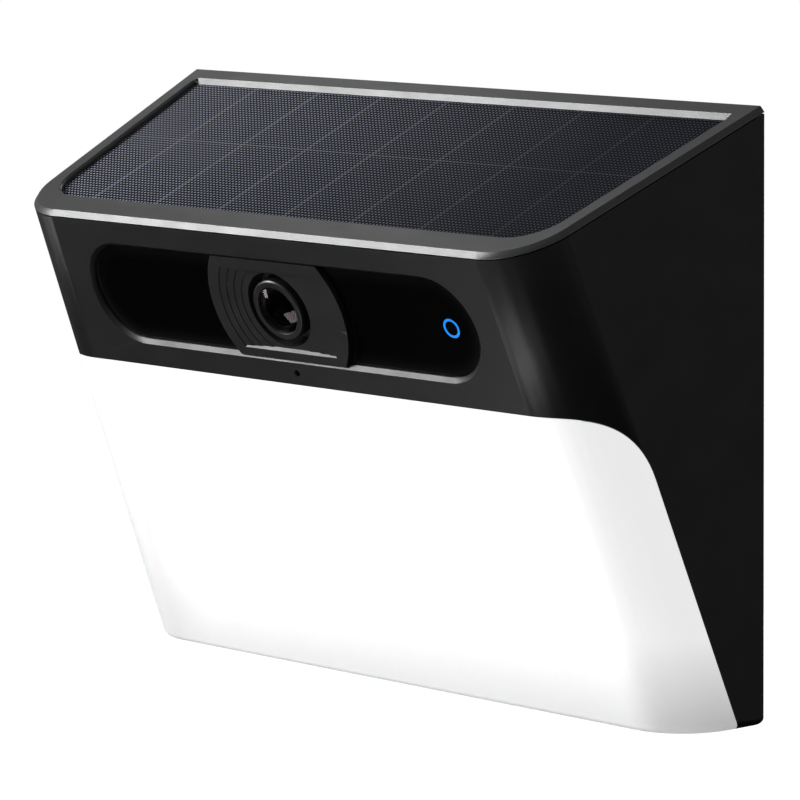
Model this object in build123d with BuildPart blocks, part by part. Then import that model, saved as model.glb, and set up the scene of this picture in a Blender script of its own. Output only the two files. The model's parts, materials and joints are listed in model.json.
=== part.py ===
from build123d import *
import os
from math import cos, radians, sin, sqrt, tan

# Solar floodlight camera for an outside wall, in millimetres.
# Origin: centre of the back face, on the wall. +Z is up, -Y points away from the wall.

# ---- driving dimensions -------------------------------------------------------------
WIDTH = 180.0            # across the back
HEIGHT = 135.0           # up the wall
DEPTH = 66.0             # from the wall to the front top edge
TOP_SLOPE = 22.7         # the solar face falls towards the front, degrees
FRONT_LEAN = 22.0        # the front face leans back towards its foot, degrees
SIDE_TAPER = 8.0         # each side draws in towards the front, degrees
CORNER_R = 15.5          # rounding between front and sides
FOOT_R = 1.8             # rounding round the underside
WALL = 2.2               # moulded wall of the housing

FRAME_DROP = 1.2         # height of the bevelled edge of the solar frame
FRAME_BEVEL = 1.1        # how far the bevel cuts in
FRAME_INNER = 0.4        # chamfer round the solar opening
FRAME_BACK_SLOPE = 1.1   # wider slope along its wall side
FRAME_GAP = 0.3          # shadow line between solar frame and housing
FRAME_LIP = 3.6          # how deep the frame's lip reaches into the housing
OPENING_SIDE = 4.8       # solar opening: border at the sides, wall side and front
OPENING_BACK = 5.4
OPENING_FRONT = 63.5
OPENING_R = 10.5
PANEL_SINK = 1.4         # the solar cells lie this far below the frame
PANEL_LAP = 1.0          # the panel reaches this far under the frame
CELL_PITCH = 21.0
CELL_ROW = 28.9
CELL_GAP = 0.5
CELL_MIDLINE = 32.0      # line between the two rows of cells, from the wall edge

DIFFUSER_TOP = 72.0      # top edge of the light, above the underside
DIFFUSER_WRAP = 14.6     # how far the light wraps round each side
DIFFUSER_BEND = 22.5     # radius of its upper corner on the side
DIFFUSER_WALL = 2.0
PART_GAP = 0.12          # joint line between light and housing
FIT = 0.3                # clearance round inner parts
LIGHT_FIT = 0.1          # close clearance of the camera's turned parts

CAMERA_HEIGHT = 89.2     # camera centre above the underside
BAND_HALF = 48.4         # stadium recess: half the distance between its end centres
BAND_R = 12.0
BAND_BEVEL = 0.9         # sloped rim round the recess
LENS_SINK = 1.4          # the dark window lies this far below the front face
WINDOW_T = 1.2
WINDOW_R = 11.8
BEZEL_R = 20.7           # bezel: a disc with flat top and bottom
BEZEL_HALF = 12.3
BEZEL_SINK = 0.05
BEZEL_PLATE = 0.5        # thickness of the bezel's overhanging plate
STEP_HALF = 9.7
STEP_RADII = (17.5, 15.4, 13.3, 11.2)
STEP_DROP = 0.15
STEP_SLOPE = 0.6         # sloped ledge under the steps
WELL_R = 9.2
BARREL_R = 7.4
GLASS_R = 5.8
STATUS_X = 52.2
STATUS_R = 2.0
STATUS_W = 0.6
MIC_HEIGHT = 74.8
MIC_R = 0.85

BRACKET_W = 96.0
BRACKET_H = 68.0
BRACKET_T = 2.0
TONGUE_W = 17.0
HOOK_X = 34.0
HOOK_Z = (20.0, -33.0)
HOOK_W = 8.0
LIFT = 5.0               # the unit lifts this far to come off its hooks
WALL_HOLE_R = 2.3
WALL_HOLES = (76.0, 30.0)
COVER_T = 2.0
POCKET_Y = -3.0          # floor of the pocket for the bracket
FOOT_Y = -4.2            # centre line of the port, buttons and grille underneath
BUTTON_X = {"power_button": -54.0, "sync_button": -28.0}
BUTTON_R = 1.6
USB_X = -41.0
SPEAKER_X = 29.0

TOP = HEIGHT / 2
FOOT = -HEIGHT / 2
LEAN = radians(FRONT_LEAN)
SLOPE = radians(TOP_SLOPE)
TAPER = radians(SIDE_TAPER)
EDGE_Z = TOP - DEPTH * tan(SLOPE)
STRIP_IN = FOOT + WALL   # inner face of the strip underneath


def front_y(z):
    """Where the front face stands at height z."""
    return -DEPTH + (EDGE_Z - z) * tan(LEAN)


TOP_FACE = Plane(origin=(0, 0, TOP), x_dir=(1, 0, 0), z_dir=(0, -sin(SLOPE), cos(SLOPE)))
CAMERA_Z = FOOT + CAMERA_HEIGHT
FRONT = Plane(origin=(0, front_y(CAMERA_Z), CAMERA_Z), x_dir=(1, 0, 0), z_dir=(0, -cos(LEAN), -sin(LEAN)))
LIGHT_Z = FOOT + DIFFUSER_TOP / 2
LIGHT = Plane(origin=(0, front_y(LIGHT_Z), LIGHT_Z), x_dir=(1, 0, 0), z_dir=(0, -cos(LEAN), -sin(LEAN)))


def side_plane(side, inset):
    """Plane of one tapered side, moved inwards by inset."""
    face = Plane(origin=(side * WIDTH / 2, 0, 0), z_dir=(side * cos(TAPER), -sin(TAPER), 0))
    return face.offset(-inset)


def wedge(inset=0.0, back=0.0, raised=0.0):
    """The outer shape of the whole unit, drawn in by inset on its sides, front and foot."""
    low = FOOT + inset
    shift = inset / cos(LEAN)
    crown = TOP + raised
    edge_y = (-DEPTH + (EDGE_Z - crown) * tan(LEAN) + shift) / (1 + tan(SLOPE) * tan(LEAN))
    edge_z = crown + edge_y * tan(SLOPE)
    with BuildPart() as body:
        with BuildSketch(Plane.YZ):
            with BuildLine():
                Polyline(
                    (back, low), (front_y(low) + shift, low), (edge_y, edge_z),
                    (back, crown + back * tan(SLOPE)), close=True)
            make_face()
        extrude(amount=WIDTH, both=True)
        for side in (1, -1):
            split(bisect_by=side_plane(side, inset), keep=Keep.BOTTOM)
        corners = body.edges().filter_by(
            lambda e: abs((e @ 0.5).Y - front_y((e @ 0.5).Z) - shift) < 0.01 and abs((e % 0.5).Z) > 0.5)
        fillet(corners, CORNER_R - inset)
    return body.part


def footed_wedge():
    """The outer shape with its underside rounded off."""
    with BuildPart() as body:
        add(wedge())
        fillet(body.faces().sort_by(Axis.Z)[0].edges(), FOOT_R)
    return body.part


def light_zone(gap):
    """Everything in front of the joint line between light and housing, seen from the side."""
    reach = (DIFFUSER_WRAP - gap) / cos(LEAN)
    ceiling = FOOT + DIFFUSER_TOP - gap
    floor = FOOT - 10
    with BuildPart() as zone:
        with BuildSketch(Plane.YZ) as outline:
            with BuildLine():
                Polyline(
                    (front_y(floor) + reach, floor), (front_y(ceiling) + reach, ceiling),
                    (-2 * DEPTH, ceiling), (-2 * DEPTH, floor), close=True)
            make_face()
            bend = outline.vertices().sort_by_distance((front_y(ceiling) + reach, ceiling, 0))[0]
            fillet(bend, DIFFUSER_BEND)
        extrude(amount=WIDTH, both=True)
    return zone.part


def top_outline(side, back, front, radius, sharp=0.8):
    """A tapered outline on the solar face: borders from the sides, distances from the wall edge."""
    def half(reach):
        return WIDTH / 2 - reach * cos(SLOPE) * tan(TAPER) - side / cos(TAPER)

    with BuildSketch(mode=Mode.PRIVATE) as outline:
        Polygon(
            (-half(back), -back), (half(back), -back), (half(front), -front), (-half(front), -front),
            align=None)
        fillet(outline.vertices().group_by(Axis.Y)[0], radius)
        fillet(outline.vertices().group_by(Axis.Y)[-1], sharp)
    return outline.sketch


def bezel_outline(radius, half):
    """A disc with its top and bottom cut flat."""
    with BuildSketch(mode=Mode.PRIVATE) as outline:
        Circle(radius)
        Rectangle(4 * radius, 2 * half, mode=Mode.INTERSECT)
    return outline.sketch


def on_front(point):
    """Whether a point lies on the front face."""
    return abs(FRONT.to_local_coords(point).Z) < 0.01


def in_band(point):
    """Whether a point of the front face lies on the rim of the camera recess."""
    local = FRONT.to_local_coords(point)
    return abs(local.X) < BAND_HALF + BAND_R + 0.1 and abs(local.Y) < BAND_R + 0.1


def solid_box(x, y, z):
    """A box given by its low and high edge along each axis."""
    size = (x[1] - x[0], y[1] - y[0], z[1] - z[0])
    return Pos((x[0] + x[1]) / 2, (y[0] + y[1]) / 2, (z[0] + z[1]) / 2) * Box(*size, mode=Mode.PRIVATE)


# ---- wall bracket and its locking screw ------------------------------------------------
HOOK_NECK = 2.0
HOOK_LIP = 1.6
HOOK_RISE = 5.5
NECK_END = POCKET_Y - COVER_T - 0.6
TAB_T = 1.8
TAB_REACH = 6.6
SCREW_Y = -4.3
SCREW_R = 1.0
SCREW_FIT = 0.05
SCREW_HEAD_R = 1.7
SCREW_HEAD_T = 1.0
SCREW_CLEAR = 0.3
SCREW_L = 8.5
SCREW_CROSS = (2.0, 0.5)

with BuildPart() as wall_bracket:
    with BuildSketch(Plane.XZ):
        RectangleRounded(BRACKET_W, BRACKET_H, 5)
    extrude(amount=BRACKET_T)
    add(solid_box((-TONGUE_W / 2, TONGUE_W / 2), (-BRACKET_T, 0), (FOOT, -BRACKET_H / 2 + 4)))
    add(solid_box((-TONGUE_W / 2, TONGUE_W / 2), (-TAB_REACH, 0), (FOOT, FOOT + TAB_T)))
    for hook_z in HOOK_Z:
        for side in (-1, 1):
            across = (side * HOOK_X - HOOK_W / 2, side * HOOK_X + HOOK_W / 2)
            add(solid_box(across, (NECK_END - HOOK_LIP, -BRACKET_T + 0.5), (hook_z, hook_z + HOOK_NECK)))
            add(solid_box(across, (NECK_END - HOOK_LIP, NECK_END), (hook_z, hook_z + HOOK_RISE)))
    with Locations(Plane.XZ.offset(BRACKET_T)):
        with GridLocations(WALL_HOLES[0], WALL_HOLES[1], 2, 2):
            Hole(WALL_HOLE_R)
    with BuildSketch(Plane.XZ):
        with Locations((-12, 20), (12, 20), (-12, -14), (12, -14)):
            SlotOverall(15, 7)
    extrude(amount=BRACKET_T, mode=Mode.SUBTRACT)
    with BuildSketch(Plane.XY.offset(FOOT)):
        with Locations((0, SCREW_Y)):
            Circle(SCREW_R + SCREW_FIT)
    extrude(amount=TAB_T, mode=Mode.SUBTRACT)
    with BuildSketch(Plane.XY.offset(FOOT)):
        with Locations((0, SCREW_Y)):
            Circle(SCREW_HEAD_R + SCREW_CLEAR)
    extrude(amount=SCREW_HEAD_T, mode=Mode.SUBTRACT)
wall_bracket.part.label = "wall_bracket"

with BuildPart() as lock_screw:
    with BuildSketch(Plane.XY.offset(FOOT)):
        with Locations((0, SCREW_Y)):
            Circle(SCREW_HEAD_R)
    extrude(amount=SCREW_HEAD_T)
    with BuildSketch(Plane.XY.offset(FOOT)):
        with Locations((0, SCREW_Y)):
            Circle(SCREW_R)
    extrude(amount=SCREW_HEAD_T + SCREW_L)
    with BuildSketch(Plane.XY.offset(FOOT)):
        with Locations((0, SCREW_Y)):
            Rectangle(*SCREW_CROSS)
            Rectangle(*reversed(SCREW_CROSS))
    extrude(amount=0.6, mode=Mode.SUBTRACT)
    chamfer(lock_screw.faces().sort_by(Axis.Z)[-1].edges(), 0.4)
lock_screw.part.label = "lock_screw"

# ---- housing ---------------------------------------------------------------------------
SEAT_DEPTH = LENS_SINK + WINDOW_T
LEDGE_R = 10.3
BOSS_DEPTH = 4.6
POST_R = 3.2
POST_PILOT = 0.9
POST_WEB = (5.6, 3.0)
POST_X = 82.4
POST_Z = (-55.0, -8.0, 44.0)
POST_Y = (-10.0, -2.4)
BUTTON_CLEAR = 0.25
FLAP_T = 0.9
FLAP_X = (USB_X - 6.2, USB_X + 6.8)
FLAP_HALF = 2.1
USB_OPENING = (9.6, 3.6)
BLOCK_HALF = 13.0
BLOCK_Y = (-6.8, -2.4)
BLOCK_TOP = FOOT + 11.5
NOTCH_HALF = TONGUE_W / 2 + 0.8
NOTCH_TOP = FOOT + TAB_T + 0.3
GRILLE_R = 0.7
BOARD_DEPTH = 12.6
BOARD_T = 1.2
MIC_Y = (MIC_HEIGHT - CAMERA_HEIGHT) / cos(LEAN)
MIC_PAD_R = 2.8
PILLARS = (84.0, 25.4)
PILLAR_R = 2.2

with BuildPart() as housing:
    add(footed_wedge())
    split(bisect_by=TOP_FACE.offset(-FRAME_DROP - FRAME_GAP), keep=Keep.BOTTOM)
    add(wedge(WALL, back=5, raised=20), mode=Mode.SUBTRACT)
    add(light_zone(0), mode=Mode.SUBTRACT)
    with BuildSketch(FRONT.offset(-BOSS_DEPTH)):
        SlotCenterToCenter(2 * BAND_HALF, 2 * (BAND_R + BAND_BEVEL + WALL))
        with Locations((0, MIC_Y)):
            Circle(MIC_PAD_R)
    extrude(amount=BOSS_DEPTH - WALL + 0.2)
    with BuildSketch(FRONT.offset(-BOARD_DEPTH)):
        with GridLocations(*PILLARS, 2, 2):
            Circle(PILLAR_R)
            Circle(POST_PILOT, mode=Mode.SUBTRACT)
    extrude(amount=BOARD_DEPTH - BOSS_DEPTH + 0.2)
    with BuildSketch(FRONT):
        SlotCenterToCenter(2 * BAND_HALF, 2 * BAND_R)
    extrude(amount=-SEAT_DEPTH, mode=Mode.SUBTRACT)
    rim = housing.edges().filter_by(lambda e: on_front(e @ 0) and on_front(e @ 1) and in_band(e @ 0.5))
    chamfer(rim, BAND_BEVEL)
    with BuildSketch(FRONT):
        SlotCenterToCenter(2 * BAND_HALF, 2 * LEDGE_R)
    extrude(amount=-BOSS_DEPTH - 1, mode=Mode.SUBTRACT)
    with BuildSketch(FRONT):
        with Locations((0, MIC_Y)):
            Circle(MIC_R)
    extrude(amount=-BOSS_DEPTH - 1, mode=Mode.SUBTRACT)
    for post_z in POST_Z:
        for side in (-1, 1):
            with BuildSketch(Plane.XZ.offset(-POST_Y[1])):
                with Locations((side * (POST_X + POST_WEB[0] / 2), post_z)):
                    Rectangle(*POST_WEB)
                with Locations((side * POST_X, post_z)):
                    Circle(POST_R)
                    Circle(POST_PILOT, mode=Mode.SUBTRACT)
            extrude(amount=POST_Y[1] - POST_Y[0])
    add(solid_box((-BLOCK_HALF, BLOCK_HALF), BLOCK_Y, (FOOT + 0.3, BLOCK_TOP)))
    add(solid_box((-NOTCH_HALF, NOTCH_HALF), (-8, 1), (FOOT - 1, NOTCH_TOP)), mode=Mode.SUBTRACT)
    add(solid_box((-NOTCH_HALF, NOTCH_HALF), (BLOCK_Y[1], 1), (FOOT - 1, BLOCK_TOP)), mode=Mode.SUBTRACT)
    with BuildSketch(Plane.XY.offset(FOOT)):
        with Locations((0, SCREW_Y)):
            Circle(SCREW_R + SCREW_CLEAR)
    extrude(amount=SCREW_HEAD_T + SCREW_L + 0.6, mode=Mode.SUBTRACT)
    with BuildSketch(Plane.XY.offset(FOOT)):
        for button_x in BUTTON_X.values():
            with Locations((button_x, FOOT_Y)):
                Circle(BUTTON_R + BUTTON_CLEAR)
        with Locations((USB_X, FOOT_Y)):
            SlotOverall(*USB_OPENING)
        with Locations((SPEAKER_X, FOOT_Y)):
            with GridLocations(2.3, 2.0, 10, 2):
                Circle(GRILLE_R)
    extrude(amount=WALL + 0.5, mode=Mode.SUBTRACT)
    add(solid_box(
        (FLAP_X[0] - 1.1, FLAP_X[1] + 0.3), (FOOT_Y - FLAP_HALF - 0.3, FOOT_Y + FLAP_HALF + 0.3),
        (FOOT - 1, FOOT + FLAP_T + 0.3)), mode=Mode.SUBTRACT)
housing.part.label = "housing"

with BuildPart() as diffuser:
    add(footed_wedge())
    add(light_zone(PART_GAP), mode=Mode.INTERSECT)
    add(wedge(DIFFUSER_WALL, back=5, raised=20), mode=Mode.SUBTRACT)
diffuser.part.label = "diffuser"

# ---- back cover, its seal and screws -----------------------------------------------------
COVER_FIT = 0.25
COVER_SCREW_HEAD_R = 2.0
COVER_SCREW_SEAT = 0.9
COVER_SCREW_L = 6.8
COVER_SCREW_CROSS = (2.4, 0.5)
COVER_Y = (-1.7, -0.2)
COVER_TOP = 5.0
POCKET_X = BRACKET_W / 2 + 2
POCKET_Z = (-40.0, 35.5)
SEAL_T = 0.6
SEAL_W = 2.2
BOARD_Z = 21.0
BOARD_HOLES = (96.0, 32.0)
STANDOFF_R = 2.4
MAIN_BOARD_Y = -12.0

with BuildPart() as back_cover:
    add(wedge(WALL + COVER_FIT, back=5, raised=-COVER_TOP / cos(SLOPE)))
    add(solid_box((-WIDTH, WIDTH), COVER_Y, (FOOT, TOP)), mode=Mode.INTERSECT)
    add(solid_box(
        (-POCKET_X - COVER_T, POCKET_X + COVER_T), (POCKET_Y - COVER_T, COVER_Y[1]),
        (POCKET_Z[0] - COVER_T, POCKET_Z[1] + COVER_T)))
    add(solid_box((-NOTCH_HALF - COVER_T, NOTCH_HALF + COVER_T), (POCKET_Y - COVER_T, COVER_Y[1]),
                  (BLOCK_TOP + 0.3, POCKET_Z[0])))
    add(solid_box((-POCKET_X, POCKET_X), (POCKET_Y, 1), POCKET_Z), mode=Mode.SUBTRACT)
    add(solid_box(
        (-NOTCH_HALF, NOTCH_HALF), (POCKET_Y, 1), (FOOT - 1, POCKET_Z[0] + 1)), mode=Mode.SUBTRACT)
    add(solid_box(
        (-BLOCK_HALF - FIT, BLOCK_HALF + FIT), (-9, 1), (FOOT - 1, BLOCK_TOP + FIT)), mode=Mode.SUBTRACT)
    for hook_z in HOOK_Z:
        for side in (-1, 1):
            add(solid_box(
                (side * HOOK_X - HOOK_W / 2 - 0.6, side * HOOK_X + HOOK_W / 2 + 0.6), (-9, 0),
                (hook_z - LIFT - 0.5, hook_z + HOOK_NECK + 0.3)), mode=Mode.SUBTRACT)
    for post_z in POST_Z:
        for side in (-1, 1):
            with BuildSketch(Plane.XZ):
                with Locations((side * POST_X, post_z)):
                    Circle(COVER_SCREW_HEAD_R - 0.7)
            extrude(amount=2 * COVER_T, mode=Mode.SUBTRACT)
            with BuildSketch(Plane.XZ):
                with Locations((side * POST_X, post_z)):
                    Circle(COVER_SCREW_HEAD_R + FIT)
            extrude(amount=COVER_SCREW_SEAT, mode=Mode.SUBTRACT)
    with BuildSketch(Plane.XZ.offset(COVER_T - POCKET_Y - 0.2)):
        with Locations((0, BOARD_Z)):
            with GridLocations(*BOARD_HOLES, 2, 2):
                Circle(STANDOFF_R)
                Circle(POST_PILOT, mode=Mode.SUBTRACT)
    extrude(amount=-MAIN_BOARD_Y - COVER_T + POCKET_Y + 0.2)
back_cover.part.label = "back_cover"

with BuildPart() as cover_seal:
    add(wedge(WALL + COVER_FIT, back=5, raised=-COVER_TOP / cos(SLOPE)))
    add(wedge(WALL + COVER_FIT + SEAL_W, back=5, raised=-(COVER_TOP + SEAL_W) / cos(SLOPE)),
        mode=Mode.SUBTRACT)
    add(solid_box((-WIDTH, WIDTH), (COVER_Y[0] - SEAL_T, COVER_Y[0]), (FOOT, TOP)), mode=Mode.INTERSECT)
    add(solid_box(
        (-BLOCK_HALF - FIT, BLOCK_HALF + FIT), (-9, 1), (FOOT - 1, BLOCK_TOP)), mode=Mode.SUBTRACT)
cover_seal.part.label = "cover_seal"

with BuildPart() as cover_screws:
    for post_z in POST_Z:
        for side in (-1, 1):
            with BuildSketch(Plane.XZ.offset(FIT)):
                with Locations((side * POST_X, post_z)):
                    Circle(COVER_SCREW_HEAD_R)
            extrude(amount=COVER_SCREW_SEAT - FIT)
            with BuildSketch(Plane.XZ.offset(COVER_SCREW_SEAT)):
                with Locations((side * POST_X, post_z)):
                    Circle(POST_PILOT)
            extrude(amount=COVER_SCREW_L)
            with BuildSketch(Plane.XZ.offset(FIT)):
                with Locations((side * POST_X, post_z)):
                    Rectangle(*COVER_SCREW_CROSS)
                    Rectangle(*reversed(COVER_SCREW_CROSS))
            extrude(amount=0.4, mode=Mode.SUBTRACT)
cover_screws.part.label = "cover_screws"

# ---- solar frame and panel ---------------------------------------------------------------
LIP_FIT = 0.2
BACK_HALF = WIDTH / 2 - OPENING_BACK * cos(SLOPE) * tan(TAPER) - OPENING_SIDE / cos(TAPER) - 0.2
BACKING_T = 1.6
CELL_T = 0.5

with BuildPart() as solar_frame:
    add(wedge())
    split(bisect_by=TOP_FACE.offset(-FRAME_DROP), keep=Keep.TOP)
    crown = solar_frame.faces().sort_by(Axis(TOP_FACE.origin, TOP_FACE.z_dir))[-1]
    chamfer(crown.edges().filter_by(lambda e: (e @ 0.5).Y < -1), FRAME_BEVEL)
    with BuildPart(mode=Mode.PRIVATE) as lip:
        add(wedge(WALL + LIP_FIT, back=0, raised=20))
        split(bisect_by=TOP_FACE.offset(-FRAME_DROP + 0.2), keep=Keep.BOTTOM)
        split(bisect_by=TOP_FACE.offset(-FRAME_LIP), keep=Keep.TOP)
    add(lip.part)
    with BuildSketch(TOP_FACE.offset(-FRAME_LIP)):
        add(top_outline(
            OPENING_SIDE - PANEL_LAP - 0.2, OPENING_BACK - PANEL_LAP - 0.2, OPENING_FRONT + PANEL_LAP + 0.2,
            OPENING_R + PANEL_LAP))
    extrude(amount=FRAME_LIP - PANEL_SINK, mode=Mode.SUBTRACT)
    with BuildSketch(TOP_FACE):
        add(top_outline(OPENING_SIDE, OPENING_BACK, OPENING_FRONT, OPENING_R))
    extrude(amount=-FRAME_LIP, mode=Mode.SUBTRACT)
    crown = solar_frame.faces().sort_by(Axis(TOP_FACE.origin, TOP_FACE.z_dir))[-1]
    chamfer(crown.inner_wires()[0].edges(), FRAME_INNER)
    with BuildSketch(Plane(origin=TOP_FACE.origin, x_dir=TOP_FACE.y_dir, z_dir=TOP_FACE.x_dir)):
        Polygon(
            (-OPENING_BACK, 0), (-OPENING_BACK + FRAME_BACK_SLOPE, 0), (-OPENING_BACK, -FRAME_BACK_SLOPE),
            align=None)
    extrude(amount=BACK_HALF, both=True, mode=Mode.SUBTRACT)
solar_frame.part.label = "solar_frame"

with BuildPart() as solar_cells:
    with BuildSketch(TOP_FACE.offset(-PANEL_SINK - CELL_T)):
        with Locations((0, -CELL_MIDLINE)):
            with GridLocations(CELL_PITCH, CELL_ROW, 8, 2):
                Rectangle(CELL_PITCH - CELL_GAP, CELL_ROW - CELL_GAP)
        add(top_outline(
            OPENING_SIDE - PANEL_LAP, OPENING_BACK - PANEL_LAP, OPENING_FRONT - 2.2, OPENING_R - 2),
            mode=Mode.INTERSECT)
    extrude(amount=CELL_T)
solar_cells.part.label = "solar_cells"

with BuildPart() as solar_backing:
    with BuildSketch(TOP_FACE.offset(-PANEL_SINK - CELL_T - BACKING_T)):
        add(top_outline(
            OPENING_SIDE - PANEL_LAP, OPENING_BACK - PANEL_LAP, OPENING_FRONT + PANEL_LAP,
            OPENING_R + PANEL_LAP))
    extrude(amount=BACKING_T)
solar_backing.part.label = "solar_backing"

# ---- camera window, bezel and status light -------------------------------------------------
with BuildPart() as camera_window:
    with BuildSketch(FRONT.offset(-SEAT_DEPTH)):
        SlotCenterToCenter(2 * BAND_HALF, 2 * WINDOW_R)
        add(bezel_outline(BEZEL_R + 0.4, BEZEL_HALF + 2), mode=Mode.SUBTRACT)
    extrude(amount=WINDOW_T)
    with BuildSketch(FRONT.offset(-LENS_SINK)):
        with Locations((STATUS_X, 0)):
            Circle(STATUS_R + STATUS_W / 2)
            Circle(STATUS_R - STATUS_W / 2, mode=Mode.SUBTRACT)
    extrude(amount=-0.6, mode=Mode.SUBTRACT)
camera_window.part.label = "camera_window"

with BuildPart() as status_ring:
    with BuildSketch(FRONT.offset(-LENS_SINK)):
        with Locations((STATUS_X, 0)):
            Circle(STATUS_R + STATUS_W / 2)
            Circle(STATUS_R - STATUS_W / 2, mode=Mode.SUBTRACT)
    extrude(amount=-0.6)
status_ring.part.label = "status_ring"

HUB_R = 11.6
HUB_END = 7.0
LEDGE_HALF = sqrt(STEP_RADII[0] ** 2 - STEP_HALF ** 2)

with BuildPart() as lens_bezel:
    with BuildSketch(FRONT.offset(-SEAT_DEPTH)):
        add(bezel_outline(BEZEL_R, WINDOW_R))
    extrude(amount=SEAT_DEPTH - BEZEL_SINK)
    with BuildSketch(FRONT.offset(-BEZEL_SINK)):
        add(bezel_outline(BEZEL_R, BEZEL_HALF))
    extrude(amount=-BEZEL_PLATE)
    with BuildSketch(FRONT.offset(-HUB_END)):
        add(bezel_outline(HUB_R, LEDGE_R - 0.3))
    extrude(amount=HUB_END - SEAT_DEPTH + 0.1)
    for level, radius in enumerate(STEP_RADII):
        with BuildSketch(FRONT.offset(-BEZEL_SINK)):
            add(bezel_outline(radius, STEP_HALF))
        extrude(amount=-STEP_DROP * (level + 1), mode=Mode.SUBTRACT)
    with BuildSketch(Plane(origin=FRONT.origin, x_dir=FRONT.y_dir, z_dir=FRONT.x_dir)):
        Polygon(
            (-STEP_HALF, 0), (-STEP_HALF - STEP_SLOPE - BEZEL_SINK, 0),
            (-STEP_HALF, -STEP_SLOPE - BEZEL_SINK), align=None)
    extrude(amount=LEDGE_HALF, both=True, mode=Mode.SUBTRACT)
    with BuildSketch(FRONT):
        Circle(WELL_R)
    extrude(amount=-HUB_END - 1, mode=Mode.SUBTRACT)
lens_bezel.part.label = "lens_bezel"

# ---- lens and sensor ---------------------------------------------------------------------
BARREL_FRONT = 0.1
BARREL_END = 10.0
BARREL_BEVEL = 0.35
BORE_R = 4.2
FLANGE_DEPTH = 6.4       # collar on the barrel that closes the well
FLANGE_T = 1.4
GLASS_RIM = 0.55
GLASS_CROWN = -0.55
GLASS_EDGE = 1.2
GLASS_BACK = 0.4         # the hollow back of the front glass, below its rim
HOLDER = 17.0
HOLDER_WALL = 1.2
SENSOR = (7.6, 6.4)
CAMERA_BOARD = (112.0, 30.0)
EMITTER_X = (-34.0, 34.0)
EMITTER_R = 2.5
EMITTER_H = 8.0
EMITTER_FOOT = 1.5

with BuildPart() as lens_barrel:
    with BuildSketch(FRONT.offset(-BARREL_END)):
        Circle(BARREL_R)
    extrude(amount=BARREL_END - BARREL_FRONT)
    chamfer(lens_barrel.edges().filter_by(GeomType.CIRCLE).sort_by_distance(FRONT.origin)[0], BARREL_BEVEL)
    with BuildSketch(FRONT.offset(-FLANGE_DEPTH)):
        Circle(WELL_R - LIGHT_FIT)
    extrude(amount=FLANGE_T)
    with BuildSketch(FRONT.offset(-BARREL_FRONT)):
        Circle(GLASS_R)
    extrude(amount=BARREL_FRONT - GLASS_RIM - GLASS_EDGE, mode=Mode.SUBTRACT)
    with BuildSketch(FRONT.offset(-BARREL_FRONT)):
        Circle(BORE_R)
    extrude(amount=-BARREL_END, mode=Mode.SUBTRACT)
lens_barrel.part.label = "lens_barrel"


def dome(radius, crown, rim):
    """Arc of a sphere centred on the lens axis, from its crown to its rim; depths run down."""
    sag = rim - crown
    ball = (radius ** 2 + sag ** 2) / (2 * abs(sag))
    half_way = ball - sqrt(ball ** 2 - radius ** 2 / 4)
    middle = crown + half_way * sag / abs(sag)
    return ThreePointArc((0, -crown), (radius / 2, -middle), (radius, -rim))


def lens_disc(radius, rim_front, crown_front, rim_back, crown_back):
    """A lens turned about the camera's axis; depths are below the front face."""
    with BuildPart() as disc:
        with BuildSketch(Plane.XZ):
            with BuildLine():
                front_arc = dome(radius, crown_front, rim_front)
                back_arc = dome(radius, crown_back, rim_back)
                Line(front_arc @ 1, back_arc @ 1)
                Line(front_arc @ 0, back_arc @ 0)
            make_face()
        revolve(axis=Axis.Z)
    return FRONT.location * disc.part


with BuildPart() as lens_front:
    add(lens_disc(
        GLASS_R - LIGHT_FIT, GLASS_RIM, GLASS_CROWN, GLASS_RIM + GLASS_EDGE, GLASS_RIM + GLASS_BACK))
lens_front.part.label = "lens_front"

with BuildPart() as lens_group:
    for rim_front, crown_front, rim_back, crown_back in ((5.0, 4.3, 5.6, 6.0), (7.4, 6.6, 8.0, 8.8)):
        add(lens_disc(BORE_R - LIGHT_FIT, rim_front, crown_front, rim_back, crown_back))
lens_group.part.label = "lens_group"

with BuildPart() as lens_holder:
    with BuildSketch(FRONT.offset(-BOARD_DEPTH)):
        RectangleRounded(HOLDER, HOLDER, 1.5)
    extrude(amount=BOARD_DEPTH - BARREL_END + 1.0)
    with BuildSketch(FRONT.offset(-BARREL_END)):
        Circle(BARREL_R + HOLDER_WALL)
    extrude(amount=2.5)
    with BuildSketch(FRONT.offset(-BARREL_END)):
        Circle(BARREL_R + LIGHT_FIT)
    extrude(amount=4, mode=Mode.SUBTRACT)
    with BuildSketch(FRONT.offset(-BOARD_DEPTH)):
        Rectangle(SENSOR[0] + 1.4, SENSOR[1] + 1.6)
    extrude(amount=4, mode=Mode.SUBTRACT)
lens_holder.part.label = "lens_holder"

with BuildPart() as image_sensor:
    with BuildSketch(FRONT.offset(-BOARD_DEPTH)):
        Rectangle(*SENSOR)
    extrude(amount=1.1)
image_sensor.part.label = "image_sensor"

with BuildPart() as camera_board:
    with BuildSketch(FRONT.offset(-BOARD_DEPTH - BOARD_T)):
        RectangleRounded(CAMERA_BOARD[0], CAMERA_BOARD[1], 2)
        with GridLocations(*PILLARS, 2, 2):
            Circle(1.1, mode=Mode.SUBTRACT)
    extrude(amount=BOARD_T)
camera_board.part.label = "camera_board"

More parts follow.
